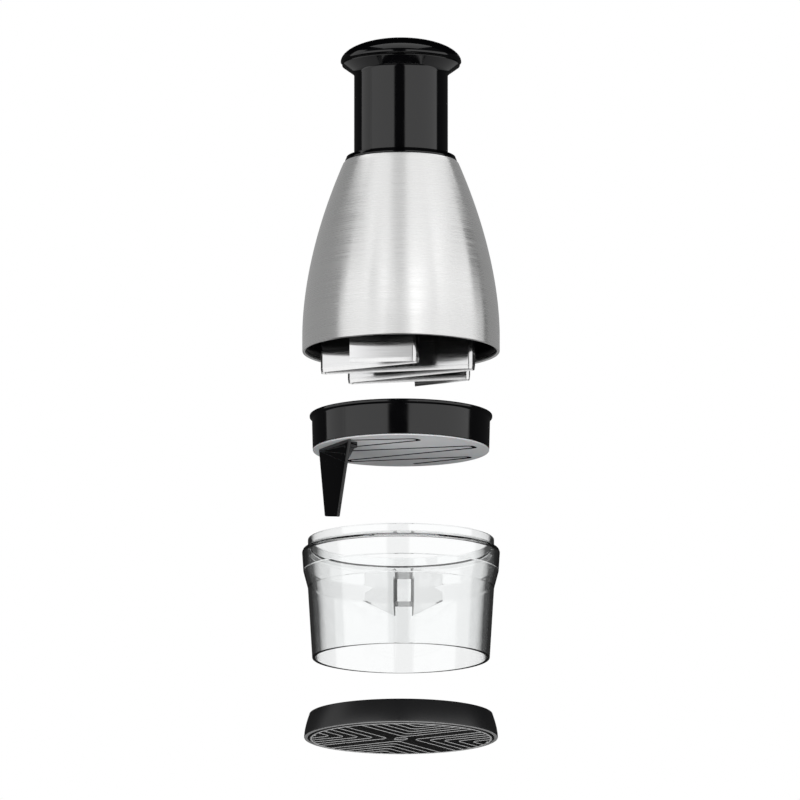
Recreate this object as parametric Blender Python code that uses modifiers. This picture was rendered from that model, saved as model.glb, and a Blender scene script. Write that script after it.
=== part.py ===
"""A hand-press vegetable dicer, set out as its separate groups on one upright axis.

From the bottom: the base cap, the clear chopping cup, the wiper ring with its slotted disc and
sweep arm, and the steel bell with the plunger, the spindle and the folded blade. Each group hangs
on an empty at its own datum, so every size below is in millimetres from that group's lower edge.
"""

import math

import bmesh
import bpy
from mathutils import Vector

MM = 0.001
ROUND = 36          # sides of a large turned piece
SMALL_ROUND = 16    # sides of a screw, clip or bush

# Heights of the groups' datums above the surface that the base stands on
CUP_HEIGHT = 40.9
RING_HEIGHT = 146.2
BELL_HEIGHT = 196.3

# Base cap and its soft pad
BASE_RIM_RADIUS = 46.35
BASE_FOOT_RADIUS = 48.35
BASE_FLARE_FOOT = 2.5
BASE_TOP = 12.7
BASE_FLOOR = (1.4, 2.6)
BASE_FOOT_EDGE = ((48.35, 1.0), (47.9, 0.5))
BASE_RECESS_RADIUS = 46.6
BASE_BORE_RADIUS = (44.7, 45.3)     # at the floor and at the rim
PAD_RADIUS = 46.2
PAD_BODY = (0.6, 1.1)
PAD_RING = (44.2, 45.4)
PAD_BOSS_RADIUS = 3.2

# Clear cup
CUP_TALL = 60.4
CUP_FOOT_RADIUS = 44.3
CUP_NECK_RADIUS = 46.5
CUP_NECK = 35.6
CUP_COLLAR_RADIUS = 49.4
CUP_COLLAR = (44.3, 53.7)
CUP_COLLAR_FOOT_RADIUS = 48.8
CUP_SHOULDER = ((46.5, 56.3), (48.9, 54.9))
CUP_BORE_RADIUS = 44.95
# Inner line of the wall under the bore, from the shoulder down to the foot
CUP_INSIDE = [(47.2, 53.3), (47.0, 45.0), (44.9, 36.3), (42.7, 0.0)]
CUP_BORE_FOOT = 55.2

# Guide fins inside the back of the cup, and the two bars that join them
FIN_CENTRE_DEG = 178.3
FIN_SLOT_DEG = 5.4
FIN_SPAN_DEG = 26.0
FIN_FOOT = (29.2, 36.0)     # at the slot and at the far end
FIN_TOP = (54.4, 51.8)
FIN_STEP = 43.6             # above this the fins stand back to clear the ring
FIN_STEP_TALL = 0.6
FIN_INNER_RADIUS = (43.9, 45.1)
FIN_ROOT_RADIUS = (45.4, 48.0)
FIN_BARS = [(34.1, 36.6, 43.9, 45.4), (48.5, 53.2, 45.9, 47.8)]

# Wiper ring, slotted disc and sweep arm
RING_TALL = 18.3
RING_FOOT = 0.9
RING_RADIUS = (44.15, 44.55)
RING_BORE_RADIUS = (43.3, 42.9, 43.1)   # at the foot, above the ledge and at the mouth
RING_LIP_RADIUS = 45.7
RING_LIP = (15.9, 16.9)
LEDGE_RADIUS = 42.0
LEDGE = (3.2, 4.5)
DISC_EDGE_RADIUS = 44.1
DISC_EDGE_TOP = 0.6
DISC_RADIUS = 42.9
DISC_TOP = 2.3
SNAP_RIM = (41.1, 41.6, 42.6)
SNAP_TOP = 6.0
SLOT_WIDTH = 1.6
# The arm is a tapered plate; its outer face follows one line in plan, set from these two corners
ARM_FACE = ((-41.2, -4.3), (-26.0, -33.5))
ARM_THICK = 1.7
ARM_CROWN = 0.5
ARM_TIP_X = (-37.9, -31.5)
ARM_TIP = (-35.2, -37.6)
FOOT_X = (-36.4, -28.5)
FOOT_DEEP = 8.0
FOOT_THICK = 3.0
GUSSET_X = (-35.7, -32.7, -29.5)
GUSSET_THICK = 1.2
GUSSET_DROP = 12.5
ARM_SCREW_X = (-35.2, -31.3)
ARM_SCREW_DEEP = 4.6
ARM_HOLE_RADIUS = 1.4

# Steel bell: a short straight skirt, then a dome that follows a power curve up to the neck
BELL_RADIUS = 49.4
BELL_NECK_RADIUS = 28.65
BELL_TALL = 96.6
BELL_SKIRT = 8.7
BELL_POWER = 1.82
BELL_WALL = 0.8
BELL_HOLE_RADIUS = 26.9

# Plastic frame inside the bell: skirt, deck and guide tube in one moulding
LINER_GAP = 1.2
LINER_WALL = 1.3
LINER_FOOT = 2.0
DECK = (45.2, 47.5)
DECK_HOLE_RADIUS = 7.3
GUIDE_RADIUS = (23.95, 25.4)
GUIDE_TOP = 96.3
COLLAR = (96.9, 99.3)
COLLAR_RADIUS = (24.0, 28.0)
COLLAR_FUNNEL = (25.2, 97.2)     # clears the fillet under the plunger's flare
COLLAR_NECK_RADIUS = (25.8, 26.6)
COLLAR_NECK_FOOT = 88.5

# Index hub, its screws and the return spring with its two seats
HUB_FLANGE = (47.8, 50.2)
HUB_RADIUS = (7.0, 13.5)
HUB_BORE_RADIUS = 6.4
HUB_FOOT = 42.4
HUB_SQUARE = 8.8
HUB_SCREW_CIRCLE = 10.6
SEAT_RADIUS = (15.2, 18.8)
LOWER_SEAT = (47.8, 48.8)
UPPER_SEAT = (143.4, 144.4)
SPRING_RADIUS = 17.0
SPRING_WIRE = 1.6
SPRING_TURNS = 7
SPRING_STEPS = 10

# Plunger: sleeve with its web, and the knob that caps it
SLEEVE_RADIUS = (22.0, 23.5)
SLEEVE_FOOT = 92.7
FLARE_FOOT = 140.5
FLARE_CURVE = (2.5, 54.0)   # radius of the fillet under the flare and the angle that it turns
FLARE_RADIUS = 29.6
WEB = (144.7, 146.7)
WEB_HOLE_RADIUS = 6.9
KNOB_RADIUS = 30.25
KNOB_WIDEST = 147.9
KNOB_DOME = 11.2
KNOB_LIP = 147.0
KNOB_LIP_RADIUS = 29.8
KNOB_BORE_RADIUS = 28.0
KNOB_CEILING = 9.8
BOSS_RADIUS = 2.6
BOSS_TOP = 156.7
BOSS_HOLE = (140.0, 151.6)
CAP_SCREW_CIRCLE = 11.5
CAP_SCREW_START_DEG = 35.0

# Cutter: twisted spindle, carrier plate and the one folded strip that makes all six blades
STROKE = 43.0
INDEX_DEG = 45.0
SPINDLE_SQUARE = 8.0
SPINDLE_FOOT = 39.9
SPINDLE_SQUARE_TOP = 140.0
JOURNAL_RADIUS = 4.0
SPINDLE_TOP = 151.0
CLIP = (148.6, 149.6)
CLIP_RADIUS = (3.55, 6.5)
CLIP_GROOVE_RADIUS = 3.2
BEARING_RADIUS = (4.4, 6.6, 8.5)    # bore, barrel in the web and flange on it
BEARING_TOP = 148.2
FIT = 0.3           # gap that stands in for contact between touching parts
CARRIER_RADIUS = 40.5
CARRIER = (37.1, 42.1)
SOCKET_SQUARE = 8.6
SOCKET_DEEP = 2.5
GROOVE_WIDTH = 1.5
GROOVE_DEEP = 2.0
BLADE_THICK = 0.8
BLADE = (-10.7, 38.8)
BLADE_BEND_RADIUS = 2.0
# Corners of the folded strip in plan, from its free end at the front to its free end at the back
BLADE_FOLDS = [
    (-25.6, -29.2),
    (6.6, -33.2), (9.6, -29.0),
    (-39.7, -2.4), (-39.7, 3.6),
    (35.0, -13.4), (37.2, -8.2),
    (-26.6, 26.6), (-25.4, 30.4),
    (33.6, 16.6), (34.6, 19.4),
    (7.0, 36.0),
]


# ---------------------------------------------------------------- scene and materials

for old in list(bpy.data.objects):
    bpy.data.objects.remove(old, do_unlink=True)

parts = bpy.data.collections.new("vegetable_dicer")
cutters = bpy.data.collections.new("cutters")
bpy.context.scene.collection.children.link(parts)
bpy.context.scene.collection.children.link(cutters)


def material(name, colour, roughness, metallic=0.0, alpha=1.0):
    """A Principled material from an RGB colour."""
    made = bpy.data.materials.new(name)
    made.use_nodes = True
    shader = made.node_tree.nodes["Principled BSDF"]
    shader.inputs["Base Color"].default_value = (*colour, 1.0)
    shader.inputs["Roughness"].default_value = roughness
    shader.inputs["Metallic"].default_value = metallic
    shader.inputs["Alpha"].default_value = alpha
    return made


BLACK_GLOSS = material("black_gloss_abs", (0.012, 0.012, 0.013), 0.12)
BLACK_SATIN = material("black_satin_pp", (0.018, 0.018, 0.019), 0.40)
GREY_PLASTIC = material("grey_pom", (0.42, 0.42, 0.43), 0.35)
CLEAR_PLASTIC = material("clear_san", (0.90, 0.91, 0.92), 0.05, alpha=0.3)
PAD_RUBBER = material("pad_rubber", (0.03, 0.03, 0.03), 0.70)
BRUSHED_STEEL = material("brushed_steel", (0.62, 0.62, 0.62), 0.28, 1.0)
BLADE_STEEL = material("blade_steel", (0.72, 0.72, 0.73), 0.12, 1.0)
BRIGHT_STEEL = material("bright_steel", (0.60, 0.60, 0.61), 0.25, 1.0)


def group(name, height, parent=None):
    """An empty at a group's datum; height is in mm above its parent's datum."""
    empty = bpy.data.objects.new(name, None)
    empty.location = (0.0, 0.0, height * MM)
    empty.parent = parent
    parts.objects.link(empty)
    return empty


base_group = group("base_group", 0.0)
cup_group = group("cup_group", CUP_HEIGHT)
ring_group = group("ring_group", RING_HEIGHT)
disc_group = group("disc_group", 0.0, ring_group)
housing_group = group("housing_group", BELL_HEIGHT)
plunger_group = group("plunger_group", 0.0, housing_group)
cutter_group = group("cutter_group", 0.0, plunger_group)


# ---------------------------------------------------------------- modelling tools

def add_part(name, mesh, parent, finish, x=0.0, y=0.0):
    """A named part in its group; x and y are in mm from the axis."""
    part = bpy.data.objects.new(name, mesh)
    parts.objects.link(part)
    part.parent = parent
    part.location = (x * MM, y * MM, 0.0)
    mesh.materials.append(finish)
    return part


def make_cutter(part):
    """Turn a part into a tool for a Boolean: out of the model and drawn as wire."""
    parts.objects.unlink(part)
    cutters.objects.link(part)
    part.hide_render = True
    part.display_type = "WIRE"
    return part


def combine(part, tool, operation, use_self=False):
    """Cut a tool from a part, or join it on; use_self is for a tool whose tight folds meet."""
    boolean = part.modifiers.new(operation.title(), "BOOLEAN")
    boolean.operation = operation
    boolean.solver = "EXACT"
    boolean.use_self = use_self
    boolean.object = make_cutter(tool)


def turned(name, profile, parent, finish, x=0.0, y=0.0, sides=ROUND, closed=True):
    """A turned piece from (radius, height) points that run down its outer side.

    A closed profile makes a ring; an open one starts and ends on the axis, or is a shell's line.
    """
    mesh = bpy.data.meshes.new(name)
    count = len(profile)
    edges = [(i, i + 1) for i in range(count - 1)]
    if closed:
        edges.append((count - 1, 0))
    mesh.from_pydata([(r * MM, 0.0, z * MM) for r, z in profile], edges, [])
    part = add_part(name, mesh, parent, finish, x, y)
    screw = part.modifiers.new("Turn", "SCREW")
    screw.axis = "Z"
    screw.angle = math.tau
    screw.steps = sides
    screw.render_steps = sides
    screw.use_merge_vertices = True
    screw.merge_threshold = 0.00001
    screw.use_smooth_shade = True
    return part


def bent_block(name, place, cuts, parent, finish):
    """A cube divided by cuts along its three edges, each corner (u, v, w) in 0..1 put by place()."""
    bm = bmesh.new()
    bmesh.ops.create_cube(bm, size=1.0)
    for axis, number in enumerate(cuts):
        if not number:
            continue
        along = [e for e in bm.edges
                 if abs((e.verts[0].co - e.verts[1].co)[axis]) > 1e-6]
        bmesh.ops.subdivide_edges(bm, edges=along, cuts=number, use_grid_fill=True)
    for vert in bm.verts:
        u, v, w = vert.co + Vector((0.5, 0.5, 0.5))
        vert.co = Vector(place(u, v, w)) * MM
    if bm.calc_volume(signed=True) < 0.0:
        bmesh.ops.reverse_faces(bm, faces=bm.faces)
    mesh = bpy.data.meshes.new(name)
    bm.to_mesh(mesh)
    bm.free()
    return add_part(name, mesh, parent, finish)


def between(low, high, share):
    return low + (high - low) * share


def around(radius, degrees, height):
    """A point at an azimuth measured from the front, positive towards +X."""
    turn = math.radians(degrees)
    return (radius * math.sin(turn), -radius * math.cos(turn), height)


def rod(name, radius, low, high, parent, finish, x=0.0, y=0.0, sides=SMALL_ROUND):
    """A plain round bar, used for holes and bosses."""
    profile = [(0.0, high), (radius, high), (radius, low), (0.0, low)]
    return turned(name, profile, parent, finish, x, y, sides, closed=False)


def prism(name, side, low, high, parent, finish):
    """A square bar centred on the axis."""
    half = side / 2

    def place(u, v, w):
        return (between(-half, half, u), between(-half, half, v), between(low, high, w))

    return bent_block(name, place, (0, 0, 0), parent, finish)


def screw_down(name, head, shank, heights, parent, finish, x, y):
    """A pan-head screw; heights are (head top, head underside, shank tip), in either direction."""
    top, under, tip = heights
    profile = [(0.0, top), (head, top), (head, under), (shank, under), (shank, tip), (0.0, tip)]
    if tip > top:
        profile.reverse()
    return turned(name, profile, parent, finish, x, y, SMALL_ROUND, closed=False)


def bell_radius(height):
    """Outer radius of the bell at a height above its rim."""
    if height <= BELL_SKIRT:
        return BELL_RADIUS
    share = (height - BELL_SKIRT) / (BELL_TALL - BELL_SKIRT)
    return BELL_RADIUS - (BELL_RADIUS - BELL_NECK_RADIUS) * share ** BELL_POWER


def rounded(points, radius, steps=3):
    """A path whose inner corners are replaced with arcs of one radius."""
    path = [Vector(points[0])]
    for before, corner, after in zip(points, points[1:], points[2:]):
        corner = Vector(corner)
        back = (Vector(before) - corner).normalized()
        ahead = (Vector(after) - corner).normalized()
        half = back.angle(ahead) / 2
        reach = min(radius / math.tan(half), 0.45 * min((Vector(before) - corner).length,
                                                        (Vector(after) - corner).length))
        centre = corner + (back + ahead).normalized() * reach / math.cos(half)
        start = corner + back * reach - centre
        end = corner + ahead * reach - centre
        for i in range(steps + 1):
            path.append(centre + start.slerp(end, i / steps) * start.length)
    path.append(Vector(points[-1]))
    return path


def lengthened(path, extra):
    """The same path with both ends run on by extra mm."""
    first = path[0] + (path[0] - path[1]).normalized() * extra
    last = path[-1] + (path[-1] - path[-2]).normalized() * extra
    return [first] + path[1:-1] + [last]


def folded_strip(name, path, thickness, low, high, parent, finish):
    """An upright strip along a path in plan."""
    count = len(path)
    mesh = bpy.data.meshes.new(name)
    points = [(p.x * MM, p.y * MM, z * MM) for z in (low, high) for p in path]
    faces = [(i, i + 1, count + i + 1, count + i) for i in range(count - 1)]
    mesh.from_pydata(points, [], faces)
    part = add_part(name, mesh, parent, finish)
    solid = part.modifiers.new("Gauge", "SOLIDIFY")
    solid.thickness = thickness * MM
    solid.offset = 0.0
    solid.use_even_offset = True
    return part


# ---------------------------------------------------------------- base

def build_base():
    """The cap that closes the cup's open foot, and the ribbed pad under it."""
    flare = []
    for i in range(5):
        turn = math.radians(90.0 * i / 4)
        flare.append((between(BASE_RIM_RADIUS, BASE_FOOT_RADIUS, math.sin(turn)),
                      between(BASE_FLARE_FOOT, BASE_TOP, math.cos(turn))))
    under, floor = BASE_FLOOR
    at_floor, at_rim = BASE_BORE_RADIUS
    turned("base_cap", [(0.0, floor), (at_floor, floor), (at_rim, BASE_TOP)] + flare
           + list(BASE_FOOT_EDGE)
           + [(BASE_RECESS_RADIUS, BASE_FOOT_EDGE[1][1]), (BASE_RECESS_RADIUS, under), (0.0, under)],
           base_group, BLACK_SATIN, closed=False)
    low, high = PAD_BODY
    inner, outer = PAD_RING
    turned("grip_pad", [
        (0.0, high), (PAD_RADIUS, high), (PAD_RADIUS, low), (outer, low), (outer, 0.0),
        (inner, 0.0), (inner, low), (PAD_BOSS_RADIUS, low), (PAD_BOSS_RADIUS, 0.0), (0.0, 0.0),
    ], base_group, PAD_RUBBER, closed=False)


# ---------------------------------------------------------------- cup

def guide_fin(side):
    """One of the two pointed fins on the cup's back wall; side is -1 or 1."""
    low_in, high_in = FIN_INNER_RADIUS
    low_out, high_out = FIN_ROOT_RADIUS

    def place(u, v, w):
        degrees = FIN_CENTRE_DEG + side * between(FIN_SLOT_DEG, FIN_SPAN_DEG, u)
        rows = [(between(*FIN_FOOT, u), low_in, low_out),
                (FIN_STEP - FIN_STEP_TALL, low_in, low_out + 1.4),
                (FIN_STEP, high_in, high_out),
                (between(*FIN_TOP, u), high_in, high_out)]
        height, inner, outer = rows[round(v * 3)]
        return around(between(inner, outer, w), degrees, height)

    return bent_block(f"fin_{side}", place, (2, 2, 0), cup_group, CLEAR_PLASTIC)


def fin_bar(low, high, inner, outer):
    """A bar across the slot between the two fins."""

    def place(u, v, w):
        degrees = FIN_CENTRE_DEG + between(-1.0, 1.0, u) * (FIN_SLOT_DEG + 1.0)
        return around(between(inner, outer, w), degrees, between(low, high, v))

    return bent_block("fin_bar", place, (1, 0, 0), cup_group, CLEAR_PLASTIC)


def build_cup():
    """The clear cup, open at both ends, with a collar that carries the bell."""
    low, high = CUP_COLLAR
    cup = turned("chopping_cup", [
        (CUP_NECK_RADIUS, CUP_TALL), *CUP_SHOULDER, (CUP_COLLAR_RADIUS, high),
        (CUP_COLLAR_FOOT_RADIUS, low), (CUP_NECK_RADIUS, CUP_NECK), (CUP_FOOT_RADIUS, 0.0),
        *reversed(CUP_INSIDE), (CUP_BORE_RADIUS, CUP_BORE_FOOT), (CUP_BORE_RADIUS, CUP_TALL),
    ], cup_group, CLEAR_PLASTIC)
    for side in (-1, 1):
        combine(cup, guide_fin(side), "UNION")
    for bar in FIN_BARS:
        combine(cup, fin_bar(*bar), "UNION")


# ---------------------------------------------------------------- wiper ring and disc

def build_ring():
    """The black ring that drops into the cup's mouth and hangs there on its lip."""
    foot, head = RING_RADIUS
    lip_foot, lip_edge = RING_LIP
    low, high = LEDGE
    at_foot, at_ledge, at_mouth = RING_BORE_RADIUS
    turned("wiper_ring", [
        (RING_LIP_RADIUS, RING_TALL), (RING_LIP_RADIUS, lip_edge), (head, lip_foot),
        (foot, RING_FOOT), (at_foot, RING_FOOT), (at_foot, low), (LEDGE_RADIUS, low),
        (LEDGE_RADIUS, high), (at_ledge, high + 0.3), (at_mouth, RING_TALL),
    ], ring_group, BLACK_GLOSS)


def on_arm(x, inward, height):
    """A point at an x on the arm's outer face, or some way in from it towards the axis."""
    left, right = (Vector(corner) for corner in ARM_FACE)
    run = right - left
    share = (x - left.x) / run.x
    inside = Vector((-run.y, run.x)).normalized()
    bulge = ARM_CROWN * 4 * share * (1 - share)
    spot = left + run * share + inside * (inward - bulge)
    return (spot.x, spot.y, height)


def build_disc():
    """The slotted disc that wipes the blades, snapped over the ring's ledge so that it can turn."""
    inner, stem, bead = SNAP_RIM
    disc = turned("wiper_disc", [
        (0.0, DISC_TOP), (inner, DISC_TOP), (inner, SNAP_TOP), (bead, SNAP_TOP),
        (bead, LEDGE[1] + 0.4), (stem, LEDGE[1] + 0.4), (stem, DISC_TOP), (DISC_RADIUS, DISC_TOP),
        (DISC_RADIUS, DISC_EDGE_TOP), (DISC_EDGE_RADIUS, DISC_EDGE_TOP), (DISC_EDGE_RADIUS, 0.0),
        (0.0, 0.0),
    ], disc_group, GREY_PLASTIC, closed=False)
    slot = lengthened(rounded(BLADE_FOLDS, BLADE_BEND_RADIUS), (SLOT_WIDTH - BLADE_THICK) / 2)
    combine(disc, folded_strip("slot", slot, SLOT_WIDTH, -1.0, DISC_TOP + 1.0, disc_group,
                               GREY_PLASTIC), "DIFFERENCE", use_self=True)
    for number, x in enumerate(ARM_SCREW_X, 1):
        x, y, _ = on_arm(x, ARM_SCREW_DEEP, 0.0)
        combine(disc, rod(f"disc_hole_{number}", ARM_HOLE_RADIUS, -1.0, DISC_TOP + 1.0, disc_group,
                          GREY_PLASTIC, x, y), "DIFFERENCE")


def build_arm():
    """The tapered arm that sweeps the cup's wall, with its foot, gussets and two screws."""

    def plate_shape(u, v, w):
        left = between(ARM_TIP_X[0], ARM_FACE[0][0], v)
        right = between(ARM_TIP_X[1], ARM_FACE[1][0], v)
        return on_arm(between(left, right, u), between(ARM_THICK, 0.0, w),
                      between(between(*ARM_TIP, u), -0.02, v))

    def foot_shape(u, v, w):
        return on_arm(between(*FOOT_X, u), between(FOOT_DEEP, 1.0, w),
                      between(-FOOT_THICK, -0.02, v))

    arm = bent_block("sweep_arm", plate_shape, (6, 3, 0), disc_group, BLACK_GLOSS)
    combine(arm, bent_block("arm_foot", foot_shape, (4, 0, 0), disc_group, BLACK_GLOSS), "UNION")
    for x in GUSSET_X:

        def gusset_shape(u, v, w, x=x):
            inward = between(between(1.3, 1.1, v), between(1.4, FOOT_DEEP - 0.8, v), u)
            across = x + between(-0.5, 0.5, w) * GUSSET_THICK
            return on_arm(across, inward, between(-GUSSET_DROP, 0.6 - FOOT_THICK, v))

        combine(arm, bent_block("gusset", gusset_shape, (0, 0, 0), disc_group, BLACK_GLOSS), "UNION")
    for number, x in enumerate(ARM_SCREW_X, 1):
        x, y, _ = on_arm(x, ARM_SCREW_DEEP, 0.0)
        combine(arm, rod(f"arm_hole_{number}", ARM_HOLE_RADIUS, -2.3, 1.0, disc_group, BLACK_GLOSS,
                         x, y), "DIFFERENCE")
        screw_down(f"arm_screw_{number}", 2.2, 1.1, (DISC_TOP + 1.6, DISC_TOP + FIT, -2.0),
                   disc_group, BRIGHT_STEEL, x, y)


# ---------------------------------------------------------------- bell and its inner frame

def build_housing():
    """The spun steel bell, the moulded frame inside it and the collar that clamps them."""
    heights = [between(BELL_TALL, BELL_SKIRT, (i / 8) ** 1.15) for i in range(9)]
    line = [(BELL_HOLE_RADIUS, BELL_TALL)]
    line += [(bell_radius(z), z) for z in heights] + [(BELL_RADIUS, 0.0)]
    bell = turned("bell_shell", line, housing_group, BRUSHED_STEEL, closed=False)
    wall = bell.modifiers.new("Gauge", "SOLIDIFY")
    wall.thickness = BELL_WALL * MM
    wall.offset = -1.0
    wall.use_even_offset = True

    low, high = DECK
    skirt = [between(high - 0.6, LINER_FOOT, i / 4) for i in range(5)]
    outer = [(bell_radius(z) - LINER_GAP, z) for z in skirt]
    inner = [(bell_radius(z) - LINER_GAP - LINER_WALL, z) for z in reversed(skirt[1:])]
    bore, tube = GUIDE_RADIUS
    liner = turned("bell_liner", [(tube, GUIDE_TOP), (tube, high)]
                   + [(bell_radius(high) - LINER_GAP - 0.8, high)] + outer + inner
                   + [(bell_radius(low) - LINER_GAP - LINER_WALL, low), (DECK_HOLE_RADIUS, low),
                      (DECK_HOLE_RADIUS, high), (bore, high), (bore, GUIDE_TOP)],
                   housing_group, BLACK_SATIN)

    neck_in, neck_out = COLLAR_NECK_RADIUS
    turned("collar_ring", [
        (COLLAR_RADIUS[1], COLLAR[1]), (COLLAR_RADIUS[1], COLLAR[0]), (neck_out, COLLAR[0]),
        (neck_out, COLLAR_NECK_FOOT), (neck_in, COLLAR_NECK_FOOT), (neck_in, GUIDE_TOP + FIT),
        (COLLAR_RADIUS[0], GUIDE_TOP + FIT), (COLLAR_RADIUS[0], COLLAR_FUNNEL[1]),
        (COLLAR_FUNNEL[0], COLLAR[1]),
    ], housing_group, BLACK_GLOSS)

    boss, flange = HUB_RADIUS
    hub = turned("index_hub", [
        (0.0, HUB_FLANGE[1]), (flange, HUB_FLANGE[1]), (flange, HUB_FLANGE[0]),
        (boss, HUB_FLANGE[0]), (boss, HUB_FOOT), (HUB_BORE_RADIUS, HUB_FOOT),
        (HUB_BORE_RADIUS, HUB_FLANGE[0]), (0.0, HUB_FLANGE[0]),
    ], housing_group, GREY_PLASTIC, sides=24, closed=False)
    combine(hub, prism("hub_square", HUB_SQUARE, HUB_FLANGE[0] - 1.0, HUB_FLANGE[1] + 1.0,
                       housing_group, GREY_PLASTIC), "DIFFERENCE")
    for number, x in enumerate((-HUB_SCREW_CIRCLE, HUB_SCREW_CIRCLE), 1):
        for part, tag in ((hub, "hub"), (liner, "deck")):
            combine(part, rod(f"{tag}_hole_{number}", 1.4, low - 1.0, HUB_FLANGE[1] + 1.0,
                              housing_group, GREY_PLASTIC, x), "DIFFERENCE")
        screw_down(f"hub_screw_{number}", 1.9, 1.0, (HUB_FLANGE[1] + 1.5, HUB_FLANGE[1] + FIT,
                                                     low + 0.2), housing_group, BRIGHT_STEEL, x, 0.0)


def spring_seat(name, heights, parent):
    """A flat steel washer at one end of the return spring."""
    low, high = heights
    inner, outer = SEAT_RADIUS
    turned(name, [(outer, high), (outer, low), (inner, low), (inner, high)],
           parent, BRIGHT_STEEL, sides=24)


def build_spring():
    """The compression spring that lifts the plunger; its end turns lie closer than the rest."""
    low = LOWER_SEAT[1] + FIT + SPRING_WIRE / 2
    high = UPPER_SEAT[0] - FIT - SPRING_WIRE / 2
    count = SPRING_TURNS * SPRING_STEPS
    curve = bpy.data.curves.new("return_spring", "CURVE")
    curve.dimensions = "3D"
    curve.bevel_depth = SPRING_WIRE / 2 * MM
    curve.bevel_resolution = 1
    curve.use_fill_caps = True
    line = curve.splines.new("POLY")
    line.points.add(count)
    for i, point in enumerate(line.points):
        share = i / count
        turn = math.tau * i / SPRING_STEPS
        rise = share - math.sin(math.tau * share) / math.tau * 0.75
        point.co = (SPRING_RADIUS * math.cos(turn) * MM, SPRING_RADIUS * math.sin(turn) * MM,
                    between(low, high, rise) * MM, 1.0)
    spring = bpy.data.objects.new("return_spring", curve)
    parts.objects.link(spring)
    spring.parent = housing_group
    curve.materials.append(BRIGHT_STEEL)


# ---------------------------------------------------------------- plunger

def build_plunger():
    """The sliding sleeve, closed by a web, and the knob that is screwed down on it."""
    bore, outer = SLEEVE_RADIUS
    radius, swing = FLARE_CURVE
    fillet = []
    for i in range(4):
        turn = math.radians(swing) * (1 - i / 3)
        fillet.append((outer + radius * (1 - math.cos(turn)), FLARE_FOOT + radius * math.sin(turn)))
    edge = fillet[0][1] + (FLARE_RADIUS - fillet[0][0]) / math.tan(math.radians(swing))
    sleeve = turned("plunger_sleeve", [(FLARE_RADIUS, WEB[1]), (FLARE_RADIUS, edge)] + fillet + [
        (outer, SLEEVE_FOOT), (bore, SLEEVE_FOOT), (bore, WEB[0]), (WEB_HOLE_RADIUS, WEB[0]),
        (WEB_HOLE_RADIUS, WEB[1]),
    ], plunger_group, BLACK_GLOSS)

    dome = []
    ceiling = []
    for i in range(7):
        turn = math.radians(90.0 * i / 6)
        dome.append((KNOB_RADIUS * math.sin(turn), KNOB_WIDEST + KNOB_DOME * math.cos(turn)))
    for i in range(5):
        turn = math.radians(90.0 * (1 - i / 4))
        ceiling.append((KNOB_BORE_RADIUS * math.sin(turn), KNOB_LIP + KNOB_CEILING * math.cos(turn)))
    cap = turned("knob_cap", dome + [(KNOB_LIP_RADIUS, KNOB_LIP)] + ceiling,
                 plunger_group, BLACK_GLOSS, closed=False)
    for number in range(3):
        x, y, _ = around(CAP_SCREW_CIRCLE, CAP_SCREW_START_DEG + 120.0 * number, 0.0)
        combine(cap, rod(f"cap_boss_{number}", BOSS_RADIUS, KNOB_LIP, BOSS_TOP, plunger_group,
                         BLACK_GLOSS, x, y), "UNION")
        combine(cap, rod(f"boss_hole_{number}", 1.5, *BOSS_HOLE, plunger_group,
                         BLACK_GLOSS, x, y), "DIFFERENCE")
        combine(sleeve, rod(f"web_hole_{number}", 1.5, *BOSS_HOLE, plunger_group,
                            BLACK_GLOSS, x, y), "DIFFERENCE")
        screw_down(f"cap_screw_{number + 1}", 2.2, 1.2, (WEB[0] - 1.5, WEB[0] - FIT, 151.3),
                   plunger_group, BRIGHT_STEEL, x, y)

    bore, barrel, flange = BEARING_RADIUS
    turned("spindle_bearing", [
        (flange, BEARING_TOP), (flange, WEB[1] + FIT), (barrel, WEB[1] + FIT), (barrel, WEB[0]),
        (bore, WEB[0]), (bore, BEARING_TOP),
    ], plunger_group, GREY_PLASTIC, sides=24)


# ---------------------------------------------------------------- cutter

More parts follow.
